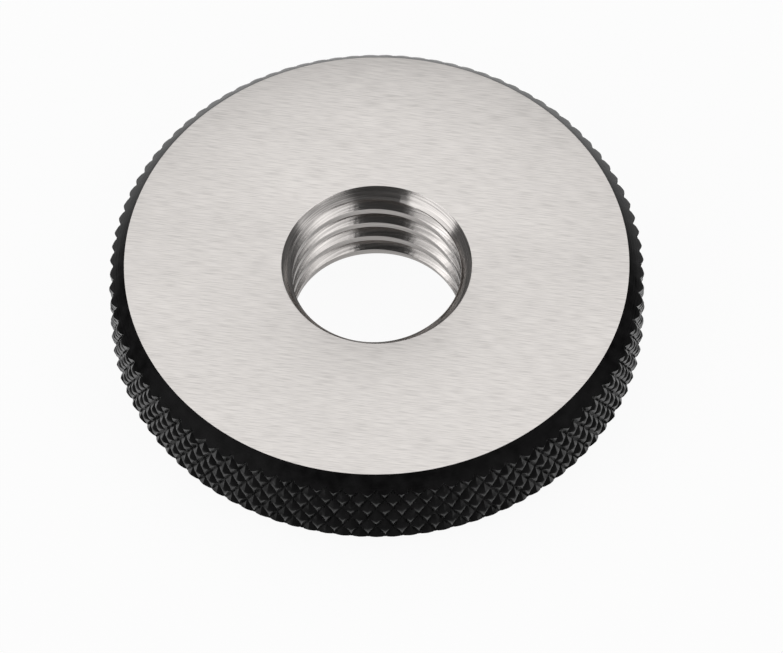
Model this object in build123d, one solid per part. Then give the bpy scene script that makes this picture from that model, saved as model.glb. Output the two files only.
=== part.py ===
from build123d import *
import math
import os

# A thread ring gauge: a hardened steel disc with ground faces, a knurled rim and a threaded hole through it.
# It stands on its lower face, centred on the Z axis, with +Z up. Sizes are in millimetres, angles in degrees.

# Blank
ring_diameter = 45.0
ring_thickness = 9.0
rim_chamfer_width = 1.3
rim_chamfer_height = 1.4
knurling_stock = 1.0  # metal left outside the finished rim for the knurl to be cut from

# Hole
thread_crest_diameter = 14.2
thread_root_diameter = 16.0
lower_mouth_depth = 0.25

# Diamond knurl: two crossing sets of V-grooves with a pointed tooth in each diamond between them
tooth_count = 98
tooth_height = 2.62
knurl_depth = 0.35
knurl_turn = -0.82

# Derived
rim_radius = ring_diameter / 2
face_radius = rim_radius - rim_chamfer_width
crest_radius = thread_crest_diameter / 2
upper_mouth_radius = thread_root_diameter / 2
upper_mouth_depth = upper_mouth_radius - crest_radius
lower_mouth_radius = crest_radius + lower_mouth_depth
tooth_rows = math.ceil(ring_thickness / tooth_height) + 1
first_row_height = ring_thickness / 2 - tooth_height / 4

# Half of the blank's section: ground faces, countersunk mouths, and chamfers that run on through the stock
stock_radius = rim_radius + knurling_stock
stock_chamfer_height = (stock_radius - face_radius) * rim_chamfer_height / rim_chamfer_width
section = Polyline(
    (lower_mouth_radius, 0),
    (face_radius, 0),
    (stock_radius, stock_chamfer_height),
    (stock_radius, ring_thickness - stock_chamfer_height),
    (face_radius, ring_thickness),
    (upper_mouth_radius, ring_thickness),
    (crest_radius, ring_thickness - upper_mouth_depth),
    (crest_radius, lower_mouth_depth),
    close=True,
)
blank = revolve(Plane.XZ * make_face(section), Axis.Z)


def knurl_point(column, row):
    """A tooth's tip where column and row add up to an odd number, and else the bottom where two grooves cross."""
    reach = rim_radius - knurl_depth * ((column + row + 1) % 2)
    angle = math.radians(knurl_turn + 180 * column / tooth_count)
    height = first_row_height + row * tooth_height / 2
    return Vector(reach * math.cos(angle), reach * math.sin(angle), height)


def polygon(corners):
    """A flat face with these corners."""
    return Face(Wire.make_polygon(corners, close=True))


# The knurled bar: each cell between two columns and two rows is folded along the groove that crosses it
flanks = []
for row in range(-tooth_rows, tooth_rows):
    for column in range(2 * tooth_count):
        corners = [
            knurl_point(column, row),
            knurl_point(column + 1, row),
            knurl_point(column + 1, row + 1),
            knurl_point(column, row + 1),
        ]
        fold = (column + row) % 2
        for start in (fold, fold + 2):
            flanks.append(polygon([corners[(start + step) % 4] for step in range(3)]))
ends = [polygon([knurl_point(column, row) for column in range(2 * tooth_count)]) for row in (-tooth_rows, tooth_rows)]
knurled_bar = Solid(Shell(flanks + ends))

# The gauge is what the blank and the knurled bar share, so that the teeth run out on the chamfers
gauge_ring = blank & knurled_bar

os.makedirs("parts", exist_ok=True)
export_step(gauge_ring, "parts/gauge_ring.step")
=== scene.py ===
import math

import bmesh
import bpy
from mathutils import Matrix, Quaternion, Vector


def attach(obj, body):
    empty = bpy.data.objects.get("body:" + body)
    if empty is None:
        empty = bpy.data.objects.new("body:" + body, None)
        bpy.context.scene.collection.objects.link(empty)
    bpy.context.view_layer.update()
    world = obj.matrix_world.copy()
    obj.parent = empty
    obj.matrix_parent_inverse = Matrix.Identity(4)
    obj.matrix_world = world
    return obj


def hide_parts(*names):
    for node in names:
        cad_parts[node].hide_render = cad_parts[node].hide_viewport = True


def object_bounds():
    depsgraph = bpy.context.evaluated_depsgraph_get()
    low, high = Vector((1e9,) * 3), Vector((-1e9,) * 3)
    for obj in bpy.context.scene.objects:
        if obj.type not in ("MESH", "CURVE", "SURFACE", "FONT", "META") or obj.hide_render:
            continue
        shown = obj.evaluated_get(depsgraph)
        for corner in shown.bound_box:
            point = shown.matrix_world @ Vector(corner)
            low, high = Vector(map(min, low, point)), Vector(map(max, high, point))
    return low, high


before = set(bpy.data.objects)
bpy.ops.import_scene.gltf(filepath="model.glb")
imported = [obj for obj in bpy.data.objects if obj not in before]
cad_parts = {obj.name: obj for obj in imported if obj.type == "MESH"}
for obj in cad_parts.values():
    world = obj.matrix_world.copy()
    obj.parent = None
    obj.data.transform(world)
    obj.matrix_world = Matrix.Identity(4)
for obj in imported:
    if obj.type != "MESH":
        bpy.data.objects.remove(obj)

cad_low, cad_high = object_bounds()


# ---------------------------------------------------------------------------
# The blank: one disc of tool steel, turned to its section with a hole through
# the middle, hardened, and ground flat on both faces. Every edge is stoned a
# little, so it holds a thin line of light.
# ---------------------------------------------------------------------------
MM = 0.001
rim_radius = cad_high.x
thickness = cad_high.z
rim_chamfer_width = 1.3 * MM
rim_chamfer_height = 1.5 * MM
face_radius = rim_radius - rim_chamfer_width
crest_radius = 7.1 * MM
mouth_radius = 8.0 * MM
mouth_depth = mouth_radius - crest_radius
lower_mouth_depth = 0.25 * MM
edge_break = 0.06 * MM
turning_steps = 384


def eased(outline, radius):
    """A closed outline of (r, z) points with each corner cut by a small three-point curve."""
    points = []
    for i, corner in enumerate(outline):
        corner = Vector(corner)
        before = Vector(outline[i - 1]) - corner
        after = Vector(outline[(i + 1) % len(outline)]) - corner
        start = corner + before.normalized() * radius
        end = corner + after.normalized() * radius
        points += [start, (start + end + corner * 2) / 4, end]
    return points


def turned(name, outline):
    """A mesh turned about Z from a closed outline of (r, z) points, run so that faces point out."""
    shape = bmesh.new()
    turns = []
    for step in range(turning_steps):
        angle = math.tau * step / turning_steps
        turns.append([shape.verts.new((r * math.cos(angle), r * math.sin(angle), z)) for r, z in outline])
    for step, here in enumerate(turns):
        following = turns[(step + 1) % turning_steps]
        for i in range(len(outline)):
            j = (i + 1) % len(outline)
            shape.faces.new((here[i], following[i], following[j], here[j]))
    mesh = bpy.data.meshes.new(name)
    shape.to_mesh(mesh)
    shape.free()
    return mesh


# The rim is left proud by this much, so that the knurl alone makes the outer surface
proud = 1.0 * MM
slope = rim_chamfer_height / rim_chamfer_width
proud_height = (rim_chamfer_width + proud) * slope
blank_outline = eased(
    [
        (crest_radius + lower_mouth_depth, 0),
        (face_radius, 0),
        (rim_radius + proud, proud_height),
        (rim_radius + proud, thickness - proud_height),
        (face_radius, thickness),
        (mouth_radius, thickness),
        (crest_radius, thickness - mouth_depth),
        (crest_radius, lower_mouth_depth),
    ],
    edge_break,
)


def join(tree, node, inputs):
    """Gives the inputs of a node, by name or place, their value, or joins them to a socket."""
    for key, value in inputs.items():
        socket = node.inputs[key]
        if isinstance(value, bpy.types.NodeSocket):
            tree.links.new(value, socket)
        else:
            socket.default_value = value
    return node


def add_node(tree, kind, inputs=None, **settings):
    """A new node with its settings made and its inputs given."""
    made = tree.nodes.new(kind)
    for name, value in settings.items():
        setattr(made, name, value)
    return join(tree, made, inputs or {})


def marks(tree, size, turn=0.0, detail=3.0):
    """A noise on the gauge's own coordinates, with marks of one size in metres along each axis."""
    own = add_node(tree, "ShaderNodeTexCoord").outputs["Object"]
    laid = add_node(
        tree,
        "ShaderNodeMapping",
        {"Vector": own, "Rotation": (0, 0, turn), "Scale": size},
        vector_type="TEXTURE",
    )
    field = add_node(tree, "ShaderNodeTexNoise", {"Vector": laid.outputs[0], "Scale": 1.0, "Detail": detail})
    return field.outputs["Fac"]


def spread(tree, value, low, high, start=0.3, end=0.7):
    """A value moved from the range it mostly has to a range from low to high, and held there."""
    return add_node(tree, "ShaderNodeMapRange", {0: value, 1: start, 2: end, 3: low, 4: high}).outputs[0]


def tinted(tree, colour, level):
    """A colour made lighter or darker by a level."""
    return add_node(tree, "ShaderNodeVectorMath", {0: colour, "Scale": level}, operation="SCALE").outputs[0]


def bumped(tree, field, depth):
    """A surface raised and sunk by a field, over a depth in metres."""
    return add_node(tree, "ShaderNodeBump", {"Height": field, "Distance": depth}).outputs[0]


def maths(tree, operation, *values):
    """The result of one arithmetic step on numbers or sockets."""
    return add_node(tree, "ShaderNodeMath", dict(enumerate(values)), operation=operation).outputs[0]


ground_steel = bpy.data.materials.new("ground_steel")
ground_steel.use_nodes = True
tree = ground_steel.node_tree
grinding_direction = math.radians(-8.5)
scratches = marks(tree, (1.8 * MM, 0.085 * MM, 0.3 * MM), grinding_direction, 3.0)
clouds = marks(tree, (14 * MM, 4 * MM, 10 * MM), grinding_direction, 2.0)
scratch_level = spread(tree, scratches, -0.2, 0.04, 0.26, 0.58)
cloud_level = spread(tree, clouds, 0.985, 1.035)
level = maths(tree, "ADD", scratch_level, cloud_level)
join(
    tree,
    tree.nodes["Principled BSDF"],
    {
        "Metallic": 1.0,
        "Base Color": tinted(tree, (0.69, 0.66, 0.637), level),
        "Roughness": spread(tree, scratches, 0.36, 0.28),
    },
)
ring = bpy.data.objects.new("ring", turned("ring", blank_outline))
ring.data.materials.append(ground_steel)
bpy.context.scene.collection.objects.link(ring)


# ---------------------------------------------------------------------------
# The grip: a diamond knurl rolled round the rim, of two crossing sets of
# V-grooves that leave pointed teeth, then the whole rim and its chamfers are
# blackened with oxide.
# ---------------------------------------------------------------------------
black_oxide = bpy.data.materials.new("black_oxide")
black_oxide.use_nodes = True
tree = black_oxide.node_tree
mottle = marks(tree, (1.1 * MM, 1.1 * MM, 1.1 * MM), 0.0, 3.0)
rolling_lines = marks(tree, (3.0 * MM, 3.0 * MM, 0.12 * MM), 0.0, 2.0)
grazing = add_node(tree, "ShaderNodeLayerWeight", {"Blend": 0.5}).outputs["Facing"]
join(
    tree,
    tree.nodes["Principled BSDF"],
    {
        "IOR": 1.45,
        "Specular IOR Level": spread(tree, grazing, 0.05, 0.42, 0.4, 0.72),
        "Base Color": tinted(tree, (0.0065, 0.0063, 0.0065), spread(tree, mottle, 0.6, 1.6)),
        "Roughness": spread(tree, mottle, 0.15, 0.28),
        "Normal": bumped(tree, rolling_lines, 0.014 * MM),
    },
)


def shaping_tree(name, sizes):
    """An empty Geometry Nodes tree with a geometry in and out and a named input for each size."""
    tree = bpy.data.node_groups.new(name, "GeometryNodeTree")
    tree.interface.new_socket("Geometry", in_out="INPUT", socket_type="NodeSocketGeometry")
    for label, value in sizes.items():
        kind = {int: "NodeSocketInt", float: "NodeSocketFloat"}.get(type(value), "NodeSocketMaterial")
        tree.interface.new_socket(label, in_out="INPUT", socket_type=kind)
    tree.interface.new_socket("Geometry", in_out="OUTPUT", socket_type="NodeSocketGeometry")
    return tree, tree.nodes.new("NodeGroupInput").outputs, tree.nodes.new("NodeGroupOutput").inputs


def shape_with(obj, tree, sizes):
    """Puts the tree on the object as a modifier, with each named input given its value."""
    modifier = obj.modifiers.new(tree.name, "NODES")
    modifier.node_group = tree
    for item in tree.interface.items_tree:
        if item.in_out == "INPUT" and item.name in sizes:
            modifier[item.identifier] = sizes[item.name]
    return modifier


tooth_count = 98
tooth_height = 2.62 * MM
knurl_depth = 0.38 * MM
tooth_crown = 1.8
tooth_wear = 0.1 * MM
tooth_wear_width = 1.1 * MM
half_tooth_steps = 6
wrap_guard = 0.0005  # keeps the bottom of a groove off the place where its count starts again
knurl_turn = math.radians(-0.82)
knurl_rows = math.ceil(thickness / tooth_height) + 1

knurl_sizes = {
    "Tooth Count": tooth_count,
    "Tooth Height": float(tooth_height),
    "Rows": knurl_rows,
    "Steps": half_tooth_steps,
    "Crown": tooth_crown,
    "Turn": knurl_turn,
    "Rim Radius": float(rim_radius),
    "First Row Height": float(thickness / 2 - tooth_height / 4),
    "Depth": float(knurl_depth),
    "Wear": float(tooth_wear),
    "Wear Width": float(tooth_wear_width),
    "Blackened Radius": float(face_radius),
    "Finish": black_oxide,
}
tree, sizes, result = shaping_tree("diamond_knurl", knurl_sizes)
around = maths(tree, "MULTIPLY", maths(tree, "MULTIPLY", sizes["Tooth Count"], sizes["Steps"]), 2)
along = maths(tree, "MULTIPLY", maths(tree, "MULTIPLY", sizes["Rows"], sizes["Steps"]), 2)
height = maths(tree, "MULTIPLY", sizes["Rows"], sizes["Tooth Height"])
band = add_node(
    tree,
    "GeometryNodeMeshCylinder",
    {"Vertices": around, "Side Segments": along, "Radius": sizes["Rim Radius"], "Depth": height},
)
place = add_node(tree, "ShaderNodeSeparateXYZ", {0: add_node(tree, "GeometryNodeInputPosition").outputs[0]})
angle = maths(tree, "ARCTAN2", place.outputs["Y"], place.outputs["X"])
across = maths(tree, "MULTIPLY", maths(tree, "DIVIDE", angle, math.tau), sizes["Tooth Count"])
up = maths(tree, "DIVIDE", place.outputs["Z"], sizes["Tooth Height"])


def groove_nearness(position):
    """1 in the bottom of a groove of one set, 0 halfway to the next."""
    part = maths(tree, "FRACT", maths(tree, "ADD", position, wrap_guard))
    return maths(tree, "MULTIPLY", maths(tree, "ABSOLUTE", maths(tree, "SUBTRACT", part, 0.5)), 2)


grooves = [groove_nearness(maths(tree, side, across, up)) for side in ("ADD", "SUBTRACT")]
fall = maths(tree, "POWER", maths(tree, "MAXIMUM", *grooves), sizes["Crown"])
radius = maths(tree, "SUBTRACT", sizes["Rim Radius"], maths(tree, "MULTIPLY", fall, sizes["Depth"]))
worn = add_node(tree, "ShaderNodeTexNoise", {"Scale": maths(tree, "DIVIDE", 1.0, sizes["Wear Width"])})
radius = maths(tree, "SUBTRACT", radius, spread(tree, worn.outputs["Fac"], 0.0, sizes["Wear"]))
turned_angle = maths(tree, "ADD", angle, sizes["Turn"])
moved = add_node(
    tree,
    "ShaderNodeCombineXYZ",
    {
        0: maths(tree, "MULTIPLY", maths(tree, "COSINE", turned_angle), radius),
        1: maths(tree, "MULTIPLY", maths(tree, "SINE", turned_angle), radius),
        2: maths(tree, "ADD", place.outputs["Z"], sizes["First Row Height"]),
    },
)
teeth = add_node(
    tree,
    "GeometryNodeSetPosition",
    {"Geometry": band.outputs["Mesh"], "Position": moved.outputs[0]},
)
teeth = add_node(tree, "GeometryNodeTriangulate", {0: teeth.outputs[0]}, quad_method="SHORTEST_DIAGONAL")
joined = add_node(tree, "GeometryNodeMeshBoolean", operation="INTERSECT", solver="MANIFOLD")
tree.links.new(teeth.outputs[0], joined.inputs["Mesh 2"])
tree.links.new(sizes["Geometry"], joined.inputs["Mesh 2"])
where = add_node(tree, "ShaderNodeSeparateXYZ", {0: add_node(tree, "GeometryNodeInputPosition").outputs[0]})
out = maths(
    tree,
    "SQRT",
    maths(
        tree,
        "ADD",
        maths(tree, "POWER", where.outputs["X"], 2),
        maths(tree, "POWER", where.outputs["Y"], 2),
    ),
)
blackened = maths(tree, "GREATER_THAN", out, sizes["Blackened Radius"])
plain = add_node(tree, "GeometryNodeRealizeInstances", {0: joined.outputs["Mesh"]})
painted = add_node(
    tree,
    "GeometryNodeSetMaterial",
    {"Geometry": plain.outputs[0], "Selection": blackened, "Material": sizes["Finish"]},
)
tree.links.new(painted.outputs[0], result["Geometry"])
shape_with(ring, tree, knurl_sizes)


# ---------------------------------------------------------------------------
# The thread: one right-handed groove cut along a helix through the hole, at
# 60 degrees, with its crests left flat at the size of the bore.
# ---------------------------------------------------------------------------
bright_steel = bpy.data.materials.new("bright_steel")
bright_steel.use_nodes = True
tree = bright_steel.node_tree
turning_lines = marks(tree, (7.0 * MM, 7.0 * MM, 0.09 * MM), 0.0, 3.0)
join(
    tree,
    tree.nodes["Principled BSDF"],
    {
        "Metallic": 1.0,
        "Base Color": tinted(tree, (0.64, 0.61, 0.59), spread(tree, turning_lines, 0.6, 1.15)),
        "Roughness": 0.18,
        "Anisotropic": 0.6,
        "Anisotropic Rotation": 0.25,
        "Tangent": add_node(tree, "ShaderNodeTangent", direction_type="RADIAL", axis="Z").outputs[0],
        "Normal": bumped(tree, turning_lines, 0.008 * MM),
    },
)
pitch = 2.0 * MM
crest_width = 0.3 * pitch
groove_mouth = pitch - crest_width
flank_angle = math.radians(30)
groove_depth = mouth_radius - crest_radius
root_width = groove_mouth - 2 * groove_depth * math.tan(flank_angle)
overrun = 0.3 * MM
groove_height_at_back = 1.56 * MM
turns_before_back = 2.25
steps_in_a_turn = 96
thread_turns = math.ceil(thickness / pitch) + 2

thread_sizes = {
    "Pitch": float(pitch),
    "Turns": float(thread_turns),
    "Steps In A Turn": steps_in_a_turn,
    "Path Radius": float((mouth_radius + crest_radius - overrun) / 2),
    "Mouth Width": float(groove_mouth + 2 * overrun * math.tan(flank_angle)),
    "Root Width": float(root_width),
    "Cutting Depth": float(groove_depth + overrun),
    "Start": float(groove_height_at_back - pitch * turns_before_back),
    "Bright Radius": float(mouth_radius),
    "Finish": bright_steel,
}
tree, sizes, result = shaping_tree("helical_thread", thread_sizes)
helix = add_node(
    tree,
    "GeometryNodeCurveSpiral",
    {
        "Resolution": sizes["Steps In A Turn"],
        "Rotations": sizes["Turns"],
        "Start Radius": sizes["Path Radius"],
        "End Radius": sizes["Path Radius"],
        "Height": maths(tree, "MULTIPLY", sizes["Pitch"], sizes["Turns"]),
        "Reverse": True,
    },
)
upright = add_node(tree, "GeometryNodeSetCurveNormal", {0: helix.outputs[0]}, mode="Z_UP")
section = add_node(
    tree,
    "GeometryNodeCurvePrimitiveQuadrilateral",
    {
        "Height": sizes["Cutting Depth"],
        "Bottom Width": sizes["Root Width"],
        "Top Width": sizes["Mouth Width"],
        "Offset": 0.0,
    },
    mode="TRAPEZOID",
)
outward = add_node(
    tree, "GeometryNodeTransform", {"Geometry": section.outputs[0], "Rotation": (0, 0, math.radians(90))}
)
cutter = add_node(
    tree,
    "GeometryNodeCurveToMesh",
    {"Curve": upright.outputs[0], "Profile Curve": outward.outputs[0], "Fill Caps": True},
)
placed = add_node(tree, "GeometryNodeTransform", {"Geometry": cutter.outputs[0]})
tree.links.new(
    add_node(tree, "ShaderNodeCombineXYZ", {2: sizes["Start"]}).outputs[0], placed.inputs["Translation"]
)
cut = add_node(tree, "GeometryNodeMeshBoolean", operation="DIFFERENCE", solver="MANIFOLD")
tree.links.new(sizes["Geometry"], cut.inputs["Mesh 1"])
tree.links.new(placed.outputs[0], cut.inputs["Mesh 2"])
plain = add_node(tree, "GeometryNodeRealizeInstances", {0: cut.outputs["Mesh"]})
where = add_node(tree, "ShaderNodeSeparateXYZ", {0: add_node(tree, "GeometryNodeInputPosition").outputs[0]})
out = maths(
    tree,
    "SQRT",
    maths(
        tree,
        "ADD",
        maths(tree, "POWER", where.outputs["X"], 2),
        maths(tree, "POWER", where.outputs["Y"], 2),
    ),
)
bright = maths(tree, "LESS_THAN", out, sizes["Bright Radius"])
painted = add_node(
    tree,
    "GeometryNodeSetMaterial",
    {"Geometry": plain.outputs[0], "Selection": bright, "Material": sizes["Finish"]},
)
tree.links.new(painted.outputs[0], result["Geometry"])
shape_with(ring, tree, thread_sizes)

# The finished shape is kept as a plain mesh, smooth but for its real edges
sharpest_smooth_edge = math.radians(25)
shaped = bpy.data.meshes.new_from_object(ring.evaluated_get(bpy.context.evaluated_depsgraph_get()))
ring.modifiers.clear()
ring.data = shaped
shaped.shade_smooth()
shaped.set_sharp_from_angle(angle=sharpest_smooth_edge)

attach(ring, "root")
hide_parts("gauge_ring")


# ---------------------------------------------------------------------------
# The table: a plain white sheet of card that the gauge lies on. It shows white
# all over and dimmer in the steel, and still takes the gauge's shadow.
# ---------------------------------------------------------------------------
table_size = 6.0
table_gap = 0.00002
white_seen = 0.94
white_mirrored = 0.4
bpy.ops.mesh.primitive_plane_add(size=table_size, location=(0, 0, -table_gap))
floor = bpy.context.object
floor.name = "table"
white = bpy.data.materials.new("white_table")
white.use_nodes = True
tree = white.node_tree
tree.nodes.clear()
rays = add_node(tree, "ShaderNodeLightPath").outputs
seen = maths(tree, "MAXIMUM", rays["Is Camera Ray"], rays["Is Transmission Ray"])
share = maths(
    tree,
    "MAXIMUM",
    maths(tree, "MULTIPLY", seen, white_seen),
    maths(tree, "MULTIPLY", rays["Is Glossy Ray"], white_mirrored),
)
paper = add_node(tree, "ShaderNodeBsdfDiffuse", {"Color": (0.85, 0.85, 0.85, 1)})
glow = add_node(tree, "ShaderNodeEmission")
surface = add_node(tree, "ShaderNodeMixShader", {0: share, 1: paper.outputs[0], 2: glow.outputs[0]})
add_node(tree, "ShaderNodeOutputMaterial", {"Surface": surface.outputs[0]})
floor.data.materials.append(white)


# ---------------------------------------------------------------------------
# The studio: a dim room with a paler wall low down on one side, and five soft
# boxes hung above and beside the table.
# ---------------------------------------------------------------------------
dim_room = 0.045
world = bpy.data.worlds.new("studio")
bpy.context.scene.world = world
world.use_nodes = True
tree = world.node_tree
place = add_node(tree, "ShaderNodeTexCoord").outputs["Generated"]
direction = add_node(tree, "ShaderNodeSeparateXYZ", {0: place}).outputs
low_band = add_node(
    tree,
    "ShaderNodeMapRange",
    {0: direction["Z"], 1: 0.4, 2: 0.5, 3: 1.0, 4: 0.0},
    interpolation_type="SMOOTHSTEP",
)
pale_wall = add_node(
    tree,
    "ShaderNodeMapRange",
    {0: direction["Y"], 1: -0.15, 2: 0.1, 3: 0.6, 4: 0.07},
    interpolation_type="SMOOTHSTEP",
)
room = maths(tree, "MULTIPLY_ADD", low_band.outputs[0], pale_wall.outputs[0], dim_room)
rays = add_node(tree, "ShaderNodeLightPath").outputs
seen = maths(tree, "MAXIMUM", rays["Is Camera Ray"], rays["Is Transmission Ray"])
strength = add_node(tree, "ShaderNodeMix", {"Factor": seen, "A": room, "B": 1.0})
join(tree, tree.nodes["Background"], {"Color": (1, 1, 1, 1), "Strength": strength.outputs["Result"]})


def soft_box(name, centre, facing, width, height, brightness):
    """A softbox with its sheet centred on a point, as bright from every side as the number says."""
    data = bpy.data.lights.new(name, "AREA")
    data.shape = "RECTANGLE"
    data.size, data.size_y = width, height
    data.energy = brightness * math.pi * width * height
    lamp = bpy.data.objects.new(name, data)
    bpy.context.scene.collection.objects.link(lamp)
    lamp.location = centre
    lamp.rotation_mode = "QUATERNION"
    lamp.rotation_quaternion = Vector(facing).to_track_quat("-Z", "Y")


soft_box("top_box", (0, 0.55, 1.0), (0, 0, -1), 2.2, 1.3, 1.05)
soft_box("upper_left_box", (-0.75, -0.375, 1.0), (0, 0, -1), 0.7, 0.55, 1.05)
soft_box("upper_right_box", (0.735, -0.375, 1.0), (0, 0, -1), 0.73, 0.55, 1.05)
soft_box("left_box", (-1.0, -0.68, 0.75), (1, 0, 0), 1.36, 1.2, 1.05)
soft_box("right_box", (1.0, -1.17, 0.83), (-1, 0, 0), 2.25, 1.36, 0.36)


# ---------------------------------------------------------------------------
# The camera: about 1.8 metres off with a long lens, looking down on the upper
# face at 56 degrees, and rolled by less than a degree.
# ---------------------------------------------------------------------------
camera_place = Vector((-0.04, -1029.66, 1505.78)) * MM + Vector((0, 0, thickness))
camera_aim = Vector((1.173, -4.306, -2.960)) * MM + Vector((0, 0, thickness))
camera_roll = math.radians(0.748)
lens = bpy.data.cameras.new("camera")
lens.lens = 1000
lens.sensor_width = 36
lens.clip_start, lens.clip_end = 0.1, 20
camera = bpy.data.objects.new("camera", lens)
bpy.context.scene.collection.objects.link(camera)
camera.location = camera_place
camera.rotation_mode = "QUATERNION"
looking = (camera_aim - camera_place).to_track_quat("-Z", "Y")
camera.rotation_quaternion = looking @ Quaternion((0, 0, 1), -camera_roll)
bpy.context.scene.camera = camera

bpy.context.scene.view_settings.view_transform = "Standard"

bpy.context.view_layer.update()
